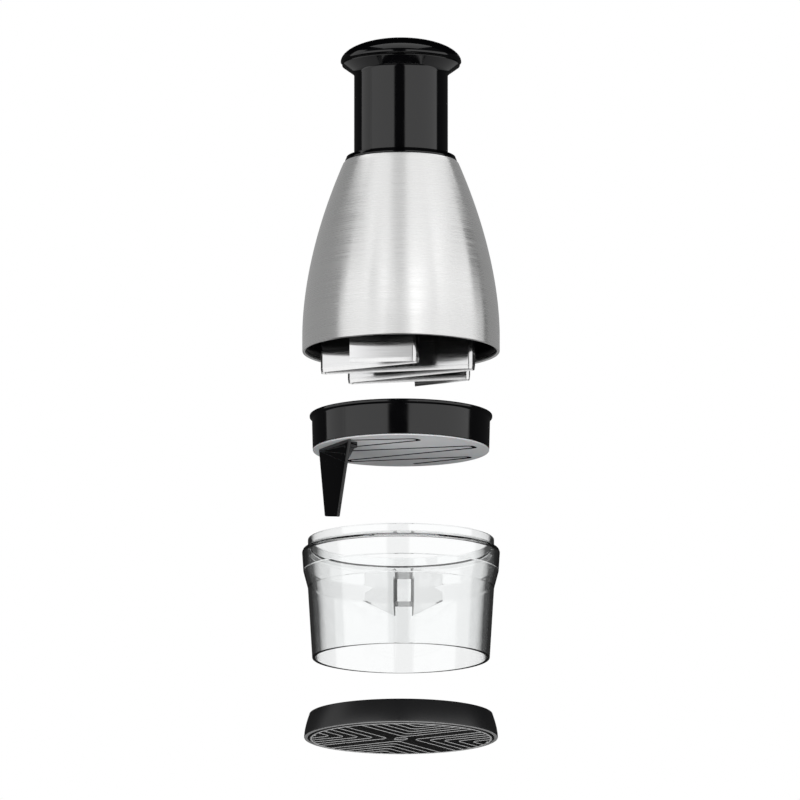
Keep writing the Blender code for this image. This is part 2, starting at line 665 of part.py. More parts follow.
def build_cutter():
    """The twisted spindle with its clip, and the carrier plate that holds the folded blade."""
    half = SPINDLE_SQUARE / 2
    hub_middle = sum(HUB_FLANGE) / 2

    def twisted(u, v, w):
        height = between(SPINDLE_FOOT, SPINDLE_SQUARE_TOP, w)
        turn = -math.radians(INDEX_DEG) * max(height - hub_middle, 0.0) / STROKE
        x = between(-half, half, u)
        y = between(-half, half, v)
        return (x * math.cos(turn) - y * math.sin(turn), x * math.sin(turn) + y * math.cos(turn),
                height)

    spindle = bent_block("spindle", twisted, (0, 0, 29), cutter_group, BRIGHT_STEEL)
    journal = turned("journal", [
        (0.0, SPINDLE_TOP), (JOURNAL_RADIUS, SPINDLE_TOP), (JOURNAL_RADIUS, CLIP[1] + FIT),
        (CLIP_GROOVE_RADIUS, CLIP[1] + FIT), (CLIP_GROOVE_RADIUS, CLIP[0] - FIT),
        (JOURNAL_RADIUS, CLIP[0] - FIT),
        (JOURNAL_RADIUS, SPINDLE_SQUARE_TOP - 3.0), (0.0, SPINDLE_SQUARE_TOP - 3.0),
    ], cutter_group, BRIGHT_STEEL, sides=24, closed=False)
    combine(spindle, journal, "UNION")
    combine(spindle, rod("spindle_thread", 2.3, SPINDLE_FOOT - 1.0, SPINDLE_FOOT + 8.6,
                         cutter_group, BRIGHT_STEEL), "DIFFERENCE")
    inner, outer = CLIP_RADIUS
    turned("spindle_clip", [(outer, CLIP[1]), (outer, CLIP[0]), (inner, CLIP[0]),
                            (inner, CLIP[1])], cutter_group, BRIGHT_STEEL, sides=24)

    low, high = CARRIER
    carrier = turned("blade_carrier", [
        (0.0, high), (CARRIER_RADIUS - 0.5, high), (CARRIER_RADIUS, high - 0.5),
        (CARRIER_RADIUS, low), (0.0, low),
    ], cutter_group, BLACK_SATIN, closed=False)
    path = rounded(BLADE_FOLDS, BLADE_BEND_RADIUS)
    groove = lengthened(path, (GROOVE_WIDTH - BLADE_THICK) / 2)
    combine(carrier, folded_strip("groove", groove, GROOVE_WIDTH, low - 1.0, low + GROOVE_DEEP,
                                  cutter_group, BLACK_SATIN), "DIFFERENCE")
    combine(carrier, prism("socket", SOCKET_SQUARE, high - SOCKET_DEEP, high + 1.0, cutter_group,
                           BLACK_SATIN), "DIFFERENCE")
    combine(carrier, rod("carrier_hole", 2.3, low - 1.0, high + 1.0, cutter_group, BLACK_SATIN),
            "DIFFERENCE")
    folded_strip("chopping_blade", path, BLADE_THICK, BLADE[0], BLADE[1], cutter_group, BLADE_STEEL)
    screw_down("carrier_screw", 4.0, 1.9, (low - 1.9, low - FIT, SPINDLE_FOOT + 7.6),
               cutter_group, BRIGHT_STEEL, 0.0, 0.0)


build_base()
build_cup()
build_ring()
build_disc()
build_arm()
build_housing()
spring_seat("spring_seat_lower", LOWER_SEAT, housing_group)
spring_seat("spring_seat_upper", UPPER_SEAT, plunger_group)
build_spring()
build_plunger()
build_cutter()
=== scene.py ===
"""The looks of a hand-press vegetable dicer, set out as its separate groups on one upright axis.

Each section makes one piece, from the base cap up to the knob, in the place that the model gives
it. Sizes are in millimetres. Heights are above the surface that the base would stand on, or above
a piece's own foot where its section names one.
"""

import math

import bpy
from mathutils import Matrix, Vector


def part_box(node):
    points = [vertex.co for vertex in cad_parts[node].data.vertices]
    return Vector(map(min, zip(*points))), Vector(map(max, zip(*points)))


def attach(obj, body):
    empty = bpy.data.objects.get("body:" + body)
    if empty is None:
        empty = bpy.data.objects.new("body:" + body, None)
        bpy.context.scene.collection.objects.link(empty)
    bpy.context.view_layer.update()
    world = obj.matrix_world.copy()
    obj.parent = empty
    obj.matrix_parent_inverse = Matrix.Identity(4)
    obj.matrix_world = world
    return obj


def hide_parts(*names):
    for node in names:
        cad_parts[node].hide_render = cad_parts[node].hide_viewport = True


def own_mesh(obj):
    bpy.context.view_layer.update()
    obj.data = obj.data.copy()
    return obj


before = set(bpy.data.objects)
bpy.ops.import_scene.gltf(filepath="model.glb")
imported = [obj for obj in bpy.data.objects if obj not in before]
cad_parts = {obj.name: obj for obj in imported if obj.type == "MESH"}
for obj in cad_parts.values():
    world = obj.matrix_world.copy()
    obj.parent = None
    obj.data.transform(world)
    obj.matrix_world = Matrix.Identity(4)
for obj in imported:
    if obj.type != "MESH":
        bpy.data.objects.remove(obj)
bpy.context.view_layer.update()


# ---------------------------------------------------------------- base cap
# The cap that closes the cup's open foot and is the board that the blade cuts towards.
# Injection-moulded polypropylene with a fine spark-eroded texture, flared out to its foot.

MM = 0.001


def softened(points, closed=False):
    """A path in which each corner given a third number, its radius, is turned into an arc."""
    path = []
    count = len(points)
    for i, point in enumerate(points):
        here = Vector(point[:2])
        radius = point[2] if len(point) > 2 else 0.0
        if not radius or (not closed and i in (0, count - 1)):
            path.append(here)
            continue
        back = Vector(points[i - 1][:2]) - here
        ahead = Vector(points[(i + 1) % count][:2]) - here
        half = back.angle(ahead) / 2
        reach = min(radius / math.tan(half), 0.48 * back.length, 0.48 * ahead.length)
        inward = (back.normalized() + ahead.normalized()).normalized()
        centre = here + inward * reach / math.cos(half)
        start = here + back.normalized() * reach - centre
        end = here + ahead.normalized() * reach - centre
        steps = max(3, round((math.pi - 2 * half) / math.radians(15)))
        path += [centre + start.slerp(end, k / steps) * start.length for k in range(steps + 1)]
    return path


def shaped(name, points, faces):
    """A smooth-shaded mesh object from points in mm; broad faces keep their own flatness."""
    mesh = bpy.data.meshes.new(name)
    mesh.from_pydata([(x * MM, y * MM, z * MM) for x, y, z in points], [], faces)
    mesh.shade_smooth()
    piece = bpy.data.objects.new(name, mesh)
    bpy.context.scene.collection.objects.link(piece)
    flats = piece.modifiers.new("Flat faces stay flat", "WEIGHTED_NORMAL")
    flats.keep_sharp = True
    return piece


def turned(name, profile, closed=False, sides=144, base=0.0):
    """A turned piece from (radius, height, corner radius) points that run down its outer side."""
    points, faces, rings = [], [], []
    for radius, height in softened(profile, closed):
        if radius < 0.001:
            rings.append([len(points)] * sides)
            points.append((0.0, 0.0, base + height))
            continue
        rings.append(range(len(points), len(points) + sides))
        turns = (math.tau * i / sides for i in range(sides))
        points += [(radius * math.cos(t), radius * math.sin(t), base + height) for t in turns]
    for upper, lower in zip(rings, rings[1:] + rings[:1] if closed else rings[1:]):
        for i in range(sides):
            j = (i + 1) % sides
            faces.append(tuple(dict.fromkeys((upper[i], lower[i], lower[j], upper[j]))))
    return shaped(name, points, faces)


def between(low, high, share):
    """The value this share of the way from low to high."""
    return low + (high - low) * share


def colour(code):
    """A linear colour from an sRGB hex code."""
    parts = [int(code[i:i + 2], 16) / 255 for i in (1, 3, 5)]
    return [p / 12.92 if p <= 0.04045 else ((p + 0.055) / 1.055) ** 2.4 for p in parts] + [1.0]


def add(tree, kind, inputs=None, **settings):
    """Adds one node with its settings; an input takes a value or another node's output."""
    made = tree.nodes.new(kind)
    for key, value in settings.items():
        setattr(made, key, value)
    for key, value in (inputs or {}).items():
        if isinstance(value, bpy.types.NodeSocket):
            tree.links.new(value, made.inputs[key])
        else:
            made.inputs[key].default_value = value
    return made


def fitted(piece, body, slot, material, *nodes):
    """Gives a piece its finish, sets it on its body and puts it in place of its plain nodes."""
    if not piece.data.materials:
        piece.data.materials.append(material)
    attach(piece, body)
    if nodes:
        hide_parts(*nodes)
    return piece


# Polypropylene from a spark-eroded tool: black, with a soft broad highlight over a fine grain.
# The real grain is about 0.1 mm; it is drawn at 0.5 mm so that it shows.
satin_pp = bpy.data.materials.new("moulded_satin_polypropylene")
satin_pp.use_nodes = True
tree = satin_pp.node_tree
tree.nodes.clear()
place = add(tree, "ShaderNodeTexCoord").outputs["Object"]
grain = add(tree, "ShaderNodeTexNoise", {"Vector": place, "Scale": 1 / (0.5 * MM), "Detail": 3.0,
                                         "Roughness": 0.6})
cloud = add(tree, "ShaderNodeTexNoise", {"Vector": place, "Scale": 1 / (22 * MM), "Detail": 4.0})
mottled = add(tree, "ShaderNodeMix", {0: cloud.outputs["Fac"], 6: colour("#101011"),
                                      7: colour("#19191a")}, data_type="RGBA")
# a painted highlight: the foot's lower edge, below 0.85 mm, is painted pale
height = add(tree, "ShaderNodeSeparateXYZ", {"Vector": place}).outputs["Z"]
painted_foot_highlight = add(tree, "ShaderNodeMapRange", {"Value": height, "From Min": 0.85 * MM,
                                          "From Max": 0.6 * MM})
# the pale grey here is the painted highlight along the foot's edge
tint = add(tree, "ShaderNodeMix", {0: painted_foot_highlight.outputs["Result"], 6: mottled.outputs[2],
                                   7: colour("#8a8a8a")}, data_type="RGBA")
sheen = add(tree, "ShaderNodeMapRange", {"Value": grain.outputs["Fac"], "From Min": 0.3,
                                         "From Max": 0.7, "To Min": 0.30, "To Max": 0.42})
relief = add(tree, "ShaderNodeBump", {"Height": grain.outputs["Fac"], "Strength": 0.25,
                                      "Distance": 0.02 * MM})
shader = add(tree, "ShaderNodeBsdfPrincipled", {
    "Base Color": tint.outputs[2], "Roughness": sheen.outputs["Result"], "IOR": 1.49,
    "Normal": relief.outputs["Normal"]})
add(tree, "ShaderNodeOutputMaterial", {"Surface": shader.outputs["BSDF"]})

BASE_TOP = 12.7
BASE_WIDEST = 48.35
FLARE = 2.55
sweep = [(BASE_WIDEST - FLARE * (k / 14) ** 1.6, between(1.0, BASE_TOP - 0.5, k / 14))
         for k in range(14, 0, -1)]
base_cap = turned("base_cap_moulding", [
    (0.0, 2.6), (44.7, 2.6, 1.4), (45.25, BASE_TOP - 0.45), (45.35, BASE_TOP - 0.12),
    (45.5, BASE_TOP), (45.7, BASE_TOP - 0.12)] + sweep + [
    (BASE_WIDEST, 1.0), (48.2, 0.65), (47.9, 0.5), (46.6, 0.5, 0.2), (46.6, 1.4), (0.0, 1.4)])
fitted(base_cap, "base", "black_satin_pp", satin_pp, "base_cap")


# ---------------------------------------------------------------- grip pad
# The soft pad under the base cap that keeps it from sliding on the worktop.
# Thermoplastic rubber, moulded with nested chevron ribs in four sectors inside a ring rib.

def ribbon(path, section):
    """Points and faces of a bar along a path in plan; its section's (side, height) points run from
    the left under the bar to the right."""
    count = len(path)
    points, faces = [], []
    for i, here in enumerate(path):
        before = (here - path[i - 1]).normalized() if i else (path[1] - here).normalized()
        after = (path[i + 1] - here).normalized() if i < count - 1 else before
        along = (before + after).normalized()
        side = Vector((-along.y, along.x)) / max(along.dot(after), 0.3)
        points += [(here.x + side.x * s, here.y + side.y * s, h) for s, h in section]
    wide = len(section)
    for i in range(count - 1):
        for k in range(wide):
            a, b = i * wide + k, i * wide + (k + 1) % wide
            faces.append((a, a + wide, b + wide, b))
    faces.append(tuple(range(wide)))
    faces.append(tuple((count - 1) * wide + k for k in reversed(range(wide))))
    return points, faces


def gathered(name, pieces):
    """One mesh object from several lists of points and faces."""
    points, faces = [], []
    for some_points, some_faces in pieces:
        faces += [tuple(v + len(points) for v in face) for face in some_faces]
        points += some_points
    return shaped(name, points, faces)


# Thermoplastic rubber from the mould: dull near-black, with the ribs' crowns a painted highlight.
pad_rubber = bpy.data.materials.new("moulded_thermoplastic_rubber")
pad_rubber.use_nodes = True
tree = pad_rubber.node_tree
tree.nodes.clear()
place = add(tree, "ShaderNodeTexCoord").outputs["Object"]
height = add(tree, "ShaderNodeSeparateXYZ", {"Vector": place}).outputs["Z"]
painted_crown_highlight = add(tree, "ShaderNodeMapRange", {"Value": height, "From Min": 0.28 * MM,
                                         "From Max": 0.06 * MM})
bloom = add(tree, "ShaderNodeTexNoise", {"Vector": place, "Scale": 1 / (6 * MM), "Detail": 5.0})
pores = add(tree, "ShaderNodeTexNoise", {"Vector": place, "Scale": 1 / (0.4 * MM), "Detail": 2.0})
# pale grey on the crowns and dark elsewhere: the pale crowns are a painted highlight
tint = add(tree, "ShaderNodeMix", {0: painted_crown_highlight.outputs["Result"], 6: colour("#030303"),
                                   7: colour("#b4b4b4")}, data_type="RGBA")
dusty = add(tree, "ShaderNodeMapRange", {"Value": bloom.outputs["Fac"], "From Min": 0.4,
                                         "From Max": 0.8, "To Max": 0.2})
# patches of dust laid over the rubber and its painted highlight
dust_over_painted_highlight = add(tree, "ShaderNodeMix", {0: dusty.outputs["Result"], 6: tint.outputs[2],
                                   7: colour("#1c1c1c")}, data_type="RGBA")
relief = add(tree, "ShaderNodeBump", {"Height": pores.outputs["Fac"], "Strength": 0.3,
                                      "Distance": 0.03 * MM})
shader = add(tree, "ShaderNodeBsdfPrincipled", {
    "Base Color": dust_over_painted_highlight.outputs[2], "Roughness": 0.42, "IOR": 1.50,
    "Normal": relief.outputs["Normal"]})
add(tree, "ShaderNodeOutputMaterial", {"Surface": shader.outputs["BSDF"]})

RIBS = 6
RIB_FIRST = 6.6
RIB_PITCH = 7.4
RIB_BEND = 3.0
RIB_TURN = math.radians(13)
RIB_REACH = 44.4
# side and height of the rib's section, from one root over its rounded crown to the other
RIB_SECTION = [(0.46, 0.7), (0.41, 0.3), (0.3, 0.08), (0.0, 0.0), (-0.3, 0.08), (-0.41, 0.3),
               (-0.46, 0.7)]

ribs = []
for number in range(RIBS):
    apex = RIB_FIRST + RIB_PITCH * number
    # where a line at 45 degrees from the apex meets the ring rib
    run = (math.sqrt(2 * RIB_REACH ** 2 - apex ** 2) - apex) / 2
    for sector in range(4):
        turn = RIB_TURN + math.radians(90) * sector
        corner = softened([(apex + run, -run), (apex, 0.0, RIB_BEND), (apex + run, run)])
        path = [Vector((p.x * math.cos(turn) - p.y * math.sin(turn),
                        p.x * math.sin(turn) + p.y * math.cos(turn))) for p in corner]
        ribs.append(ribbon(path, RIB_SECTION))
grip_ribs = gathered("grip_pad_ribs", ribs)
BOSS_HALF = 3.0
# a square with well rounded corners, once round and one step on
boss = [Vector((BOSS_HALF * math.copysign(abs(math.cos(t)) ** 0.6, math.cos(t)),
                BOSS_HALF * math.copysign(abs(math.sin(t)) ** 0.6, math.sin(t))))
        for t in (math.tau * (i + 0.5) / 40 for i in range(41))]
boss = [Vector((p.x * math.cos(RIB_TURN) - p.y * math.sin(RIB_TURN),
                p.x * math.sin(RIB_TURN) + p.y * math.cos(RIB_TURN))) for p in boss]
grip_boss = gathered("grip_pad_boss", [ribbon(boss, RIB_SECTION)])
grip_pad = turned("grip_pad_moulding", [
    (0.0, 1.1), (46.2, 1.1, 0.1), (46.2, 0.6, 0.2), (45.5, 0.6), (45.35, 0.15), (45.1, 0.0),
    (44.7, 0.0), (44.4, 0.15), (44.25, 0.6), (0.0, 0.6)])
for piece in (grip_pad, grip_ribs, grip_boss):
    fitted(piece, "base", "pad_rubber", pad_rubber, "grip_pad")


# ---------------------------------------------------------------- chopping cup
# The clear cup, open at both ends: a collar near its rim carries the bell, a cone below it leads
# to the long plain wall. Moulded in SAN, with two pointed guide fins on the inside of the back.

def bent(name, place, cuts, soften=0.0):
    """A block divided along its three edges, each corner (u, v, w) in 0..1 put by place()."""
    nu, nv, nw = cuts
    index, points, faces = {}, [], []
    for i in range(nu + 1):
        for j in range(nv + 1):
            for k in range(nw + 1):
                if i in (0, nu) or j in (0, nv) or k in (0, nw):
                    index[i, j, k] = len(points)
                    points.append(place(i / nu, j / nv, k / nw))
    for axis, (na, nb, nc) in enumerate(((nu, nv, nw), (nv, nw, nu), (nw, nu, nv))):
        for end in (0, na):
            for b in range(nb):
                for c in range(nc):
                    face = []
                    for db, dc in ((0, 0), (1, 0), (1, 1), (0, 1)):
                        spot = [0, 0, 0]
                        spot[axis], spot[(axis + 1) % 3], spot[(axis + 2) % 3] = end, b + db, c + dc
                        face.append(index[tuple(spot)])
                    faces.append(tuple(face if end else reversed(face)))
    piece = shaped(name, points, faces)
    if soften:
        edges = piece.modifiers.new("Rounded edges", "BEVEL")
        edges.width = soften * MM
        edges.segments = 3
        edges.angle_limit = math.radians(50)
        piece.modifiers.move(1, 0)
    return piece


def joined(piece, tool, operation, folds_meet=False):
    """Joins a tool to a piece or cuts it out, for good, and takes the tool away."""
    boolean = piece.modifiers.new("Join", "BOOLEAN")
    boolean.operation = operation
    boolean.solver = "EXACT"
    boolean.use_self = folds_meet
    boolean.object = tool
    if tool.data.materials:
        boolean.material_mode = "TRANSFER"
    piece.modifiers.move(len(piece.modifiers) - 1, 0)
    flats = piece.modifiers["Flat faces stay flat"]
    flats.show_viewport = False
    made = bpy.data.meshes.new_from_object(piece.evaluated_get(
        bpy.context.evaluated_depsgraph_get()))
    flats.show_viewport = True
    piece.modifiers.remove(piece.modifiers["Join"])
    made.set_sharp_from_angle(angle=math.radians(38))
    piece.data = made
    bpy.data.objects.remove(tool, do_unlink=True)


# SAN from a polished tool: water-clear and hard, so its edges and thick corners show as dark lines.
# Slow flow marks, some 15 mm apart, bend what is seen through the wall a very little.
clear_san = bpy.data.materials.new("polished_clear_san")
clear_san.use_nodes = True
tree = clear_san.node_tree
tree.nodes.clear()
place = add(tree, "ShaderNodeTexCoord").outputs["Object"]
flow = add(tree, "ShaderNodeTexNoise", {"Vector": place, "Scale": 1 / (15 * MM), "Detail": 1.0})
smears = add(tree, "ShaderNodeTexNoise", {"Vector": place, "Scale": 1 / (9 * MM), "Detail": 5.0,
                                          "Roughness": 0.65})
haze = add(tree, "ShaderNodeMapRange", {"Value": smears.outputs["Fac"], "From Min": 0.45,
                                        "From Max": 0.75, "To Min": 0.0, "To Max": 0.05})
relief = add(tree, "ShaderNodeBump", {"Height": flow.outputs["Fac"], "Strength": 0.15,
                                      "Distance": 0.2 * MM})
shader = add(tree, "ShaderNodeBsdfPrincipled", {
    "Base Color": colour("#fbfcfc"), "Roughness": haze.outputs["Result"], "IOR": 1.57,
    "Transmission Weight": 1.0, "Normal": relief.outputs["Normal"]})
add(tree, "ShaderNodeOutputMaterial", {"Surface": shader.outputs["BSDF"]})

# The same plastic from an unpolished part of the mould, on the two bars between the fins: grey.
frosted_san = clear_san.copy()
frosted_san.name = "unpolished_clear_san"
frosted = frosted_san.node_tree.nodes["Principled BSDF"]
frosted.inputs["Base Color"].default_value = colour("#cfd0d0")
for link in list(frosted.inputs["Roughness"].links):
    frosted_san.node_tree.links.remove(link)
frosted.inputs["Roughness"].default_value = 0.5

CUP_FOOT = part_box("chopping_cup")[0][2] / MM
cup = turned("chopping_cup_moulding", [
    (46.5, 60.4, 0.5), (46.5, 56.3, 0.6), (48.9, 54.9, 0.6), (49.4, 53.7, 0.6), (48.8, 44.3, 1.5),
    (46.5, 35.6, 2.5), (44.3, 0.0, 0.5), (42.7, 0.0, 0.5), (44.9, 36.3, 2.5), (47.0, 45.0, 1.5),
    (47.2, 53.3, 0.6), (44.95, 55.2, 0.6), (44.95, 60.4, 0.5)], closed=True, sides=180,
    base=CUP_FOOT)
cup.data.materials.append(clear_san)

# A greyer copy of the clear plastic on the fins: painted shade where they thicken the wall.
fin_painted_shade_san = clear_san.copy()
fin_painted_shade_san.name = "clear_san_painted_shade_on_fins"
fin_painted_shade_san.node_tree.nodes["Principled BSDF"].inputs["Base Color"].default_value = colour("#dcdddd")

# Each fin follows the wall from the slot to its far end, where it runs out into the wall, and
# steps back above the neck to clear the ring. The two bars lie across the slot between the fins.
FIN_MIDDLE = 1.35
FIN_NEAR, FIN_FAR = 4.25, 19.7
FIN_FOOT, FIN_TOP = (29.2, 36.0), (54.4, 51.8)
FIN_RUNS_OUT = 0.9
BAR_HALF = 4.6
BARS = ((34.1, 36.6, 44.0, 45.4), (48.5, 53.2, 46.8, 47.8))


def fin_point(across, height, inward):
    """A point of a fin at this distance across the back wall and from the axis."""
    return (across, math.sqrt(inward ** 2 - across ** 2), CUP_FOOT + height)


for side in (-1, 1):
    def fin(u, v, w):
        rows = [(between(*FIN_FOOT, u), 43.7, 45.4), (36.4, 43.7, 46.0), (43.6, 46.0, 48.0),
                (between(*FIN_TOP, u), 46.0, 48.0)]
        height, inner, outer = rows[round(v * 3)]
        inner += between(0.0, FIN_RUNS_OUT, u)
        across = FIN_MIDDLE + side * between(FIN_NEAR, FIN_FAR, u)
        return fin_point(across, height, between(inner, outer, w))

    blank = bent("fin", fin, (8, 3, 1))
    if side > 0:  # its corners run the other way round here
        blank.data.flip_normals()
    # the fin's faces take the greyer copy of the clear plastic: painted shade
    blank.data.materials.append(fin_painted_shade_san)
    joined(cup, blank, "UNION")
for low, high, inner, outer in BARS:
    def bar(u, v, w):
        return fin_point(FIN_MIDDLE + between(-BAR_HALF, BAR_HALF, u), between(low, high, v),
                         between(inner, outer, w))

    blank = bent("fin_bar", bar, (4, 1, 1))
    blank.data.flip_normals()
    blank.data.materials.append(frosted_san)
    joined(cup, blank, "UNION")
fitted(cup, "cup", "clear_san", clear_san, "chopping_cup")


# ---------------------------------------------------------------- wiper ring
# The ring that drops into the cup's mouth and hangs there on its lip; its ledge holds the disc.
# Moulded in ABS from a polished tool.

# Gloss ABS: black right through, with a hard mirror-like skin that is a touch wavy.
gloss_abs = bpy.data.materials.new("moulded_gloss_abs")
gloss_abs.use_nodes = True
tree = gloss_abs.node_tree
tree.nodes.clear()
place = add(tree, "ShaderNodeTexCoord").outputs["Object"]
ripple = add(tree, "ShaderNodeTexNoise", {"Vector": place, "Scale": 1 / (5 * MM), "Detail": 2.0})
handled = add(tree, "ShaderNodeTexNoise", {"Vector": place, "Scale": 1 / (12 * MM), "Detail": 6.0,
                                           "Roughness": 0.7})
polish = add(tree, "ShaderNodeMapRange", {"Value": handled.outputs["Fac"], "From Min": 0.4,
                                          "From Max": 0.75, "To Min": 0.06, "To Max": 0.15})
relief = add(tree, "ShaderNodeBump", {"Height": ripple.outputs["Fac"], "Strength": 0.12,
                                      "Distance": 0.05 * MM})
shader = add(tree, "ShaderNodeBsdfPrincipled", {
    "Base Color": colour("#08080a"), "Roughness": polish.outputs["Result"], "IOR": 1.54,
    "Normal": relief.outputs["Normal"]})
add(tree, "ShaderNodeOutputMaterial", {"Surface": shader.outputs["BSDF"]})

RING_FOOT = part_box("wiper_disc")[0][2] / MM
wiper_ring = turned("wiper_ring_moulding", [
    (45.7, 18.3, 0.9), (45.7, 16.9, 0.5), (44.55, 15.9, 0.8), (44.15, 0.9, 0.25), (43.3, 0.9, 0.25),
    (43.3, 3.2), (42.0, 3.2, 0.3), (42.0, 4.5, 0.3), (42.9, 4.8), (43.1, 18.3, 0.6)],
    closed=True, base=RING_FOOT)
fitted(wiper_ring, "ring", "black_gloss_abs", gloss_abs, "wiper_ring")


# ---------------------------------------------------------------- wiper disc
# The disc that the blades pass through; its slots wipe food off them. It snaps over the ring's
# ledge and turns there with the blade. Moulded in pale grey acetal.

# Acetal: pale grey, slippery and slightly waxy, with the fine ring marks of a turned mould insert.
grey_acetal = bpy.data.materials.new("moulded_grey_acetal")
grey_acetal.use_nodes = True
tree = grey_acetal.node_tree
tree.nodes.clear()
place = add(tree, "ShaderNodeTexCoord").outputs["Object"]
tone = add(tree, "ShaderNodeTexNoise", {"Vector": place, "Scale": 1 / (18 * MM), "Detail": 5.0})
tint = add(tree, "ShaderNodeMix", {0: tone.outputs["Fac"], 6: colour("#b3b4b6"),
                                   7: colour("#c6c7c8")}, data_type="RGBA")
marks = add(tree, "ShaderNodeTexWave", {"Vector": place, "Scale": 0.31 / (0.8 * MM),
                                        "Distortion": 0.3}, wave_type="RINGS",
            rings_direction="Z")
relief = add(tree, "ShaderNodeBump", {"Height": marks.outputs["Fac"], "Strength": 0.10,
                                      "Distance": 0.02 * MM})
shader = add(tree, "ShaderNodeBsdfPrincipled", {
    "Base Color": tint.outputs[2], "Roughness": 0.32, "IOR": 1.48,
    "Subsurface Weight": 0.08, "Subsurface Scale": 1.5 * MM,
    "Normal": relief.outputs["Normal"]})
add(tree, "ShaderNodeOutputMaterial", {"Surface": shader.outputs["BSDF"]})

# Corners of the folded strip in plan, from its free end at the front to its free end at the back;
# the disc's slots, the carrier's groove and the blade all follow it.
BLADE_FOLDS = [
    (-25.6, -29.2),
    (6.6, -33.2), (9.6, -29.0),
    (-39.7, -2.4), (-39.7, 3.6),
    (35.0, -13.4), (37.2, -8.2),
    (-26.6, 26.6), (-25.4, 30.4),
    (33.6, 16.6), (34.6, 19.4),
    (7.0, 36.0),
]
STRIP_GAUGE = 0.8
STRIP_BEND = 2.0


def fold_line(extra=0.0):
    """The strip's line with its bends, both free ends run on by extra mm."""
    path = softened([fold + (STRIP_BEND,) for fold in BLADE_FOLDS])
    path[0] += (path[0] - path[1]).normalized() * extra
    path[-1] += (path[-1] - path[-2]).normalized() * extra
    return path


def slot_tool(width, low, high):
    """The solid that a slot of this width along the strip's line takes out."""
    half = width / 2
    return gathered("slot", [ribbon(fold_line(half - STRIP_GAUGE / 2),
                                    [(half, low), (-half, low), (-half, high), (half, high)])])


# drawn wider than the strip needs, with their walls painted black as painted shade, so that they
# read as slots
SLOT_WIDE = 2.4
disc = turned("wiper_disc_moulding", [
    (0.0, 2.3), (41.1, 2.3), (41.1, 6.0, 0.2), (42.6, 6.0, 0.3), (42.6, 4.9, 0.3), (41.6, 4.9),
    (41.6, 2.3), (42.9, 2.3, 0.3), (42.9, 0.6), (44.1, 0.6, 0.15), (44.1, 0.0, 0.3), (0.0, 0.0)],
    base=RING_FOOT)
disc.data.materials.append(grey_acetal)
slots_painted_shade = slot_tool(SLOT_WIDE, RING_FOOT - 1, RING_FOOT + 3.5)
# the slots' walls take the black gloss ABS: painted shade inside the grey acetal
slots_painted_shade.data.materials.append(gloss_abs)
joined(disc, slots_painted_shade, "DIFFERENCE", folds_meet=True)
fitted(disc, "disc", "grey_pom", grey_acetal, "wiper_disc")


# ---------------------------------------------------------------- sweep arm and its screws
# The tapered arm that hangs from the disc and pulls food round the cup's wall. Gloss ABS, a plate
# with a foot under the disc, gussets between the two, pleats over its root and two screws.

ARM_LEFT, ARM_RIGHT = Vector((-41.2, -4.3)), Vector((-26.0, -33.5))
ARM_BOW = 2.0
GUSSETS_AT = (-35.7, -32.7, -29.5)
PLEATS = ((-3.6, -2.0), (-7.4, -3.6), (-11.6, -5.4))


def on_arm(x, inward, height):
    """A point at an x on the arm's outer face, or some way in from it towards the axis."""
    run = ARM_RIGHT - ARM_LEFT
    share = (x - ARM_LEFT.x) / run.x
    inside = Vector((-run.y, run.x)).normalized()
    spot = ARM_LEFT + run * share + inside * (inward - ARM_BOW * share * (1 - share))
    return (spot.x, spot.y, RING_FOOT + height)


def arm_plate(u, v, w):
    """The plate, widest under the disc, with its lower end cut aslant."""
    left, right = between(-37.9, -41.2, v), between(-31.5, -26.0, v)
    return on_arm(between(left, right, u), between(1.7, 0.0, w),
                  between(between(-35.2, -37.6, u), -0.02, v))


def arm_foot(u, v, w):
    """The foot that lies under the disc."""
    return on_arm(between(-36.4, -28.5, u), between(8.0, 1.0, w), between(-3.0, -0.02, v))


arm_pieces = [bent("sweep_arm_plate", arm_plate, (12, 8, 1), soften=0.5),
              bent("sweep_arm_foot", arm_foot, (8, 1, 1), soften=0.4)]
for number, x in enumerate(GUSSETS_AT, 1):
    def gusset(u, v, w):
        inward = between(between(1.3, 1.1, v), between(1.4, 7.2, v), u)
        return on_arm(x + between(-0.6, 0.6, w), inward, between(-12.5, -2.4, v))

    arm_pieces.append(bent(f"sweep_arm_gusset_{number}", gusset, (1, 1, 1), soften=0.25))
for number, (low, high) in enumerate(PLEATS, 1):
    def pleat(u, v, w):
        return on_arm(between(-40.0, -27.6, u), between(0.6, -0.35, w),
                      between(-1.6, low, u) + between(-0.35, 0.35, v) * between(0.6, 1.4, u))

    arm_pieces.append(bent(f"sweep_arm_pleat_{number}", pleat, (8, 1, 1), soften=0.2))
for piece in arm_pieces:
    fitted(piece, "disc", "black_gloss_abs", gloss_abs, "sweep_arm")

# Zinc-plated steel: bright, faintly blue-grey and mottled by the plating's crystals.
plated_steel = bpy.data.materials.new("zinc_plated_steel")
plated_steel.use_nodes = True
tree = plated_steel.node_tree
tree.nodes.clear()
place = add(tree, "ShaderNodeTexCoord").outputs["Object"]
spangle = add(tree, "ShaderNodeTexVoronoi", {"Vector": place, "Scale": 1 / (0.8 * MM)})
tint = add(tree, "ShaderNodeMix", {0: spangle.outputs["Distance"], 6: colour("#c2c4c8"),
                                   7: colour("#a6a8ad")}, data_type="RGBA")
mottle = add(tree, "ShaderNodeMapRange", {"Value": spangle.outputs["Distance"], "To Min": 0.20,
                                          "To Max": 0.34})
shader = add(tree, "ShaderNodeBsdfPrincipled", {
    "Base Color": tint.outputs[2], "Roughness": mottle.outputs["Result"], "Metallic": 1.0})
add(tree, "ShaderNodeOutputMaterial", {"Surface": shader.outputs["BSDF"]})


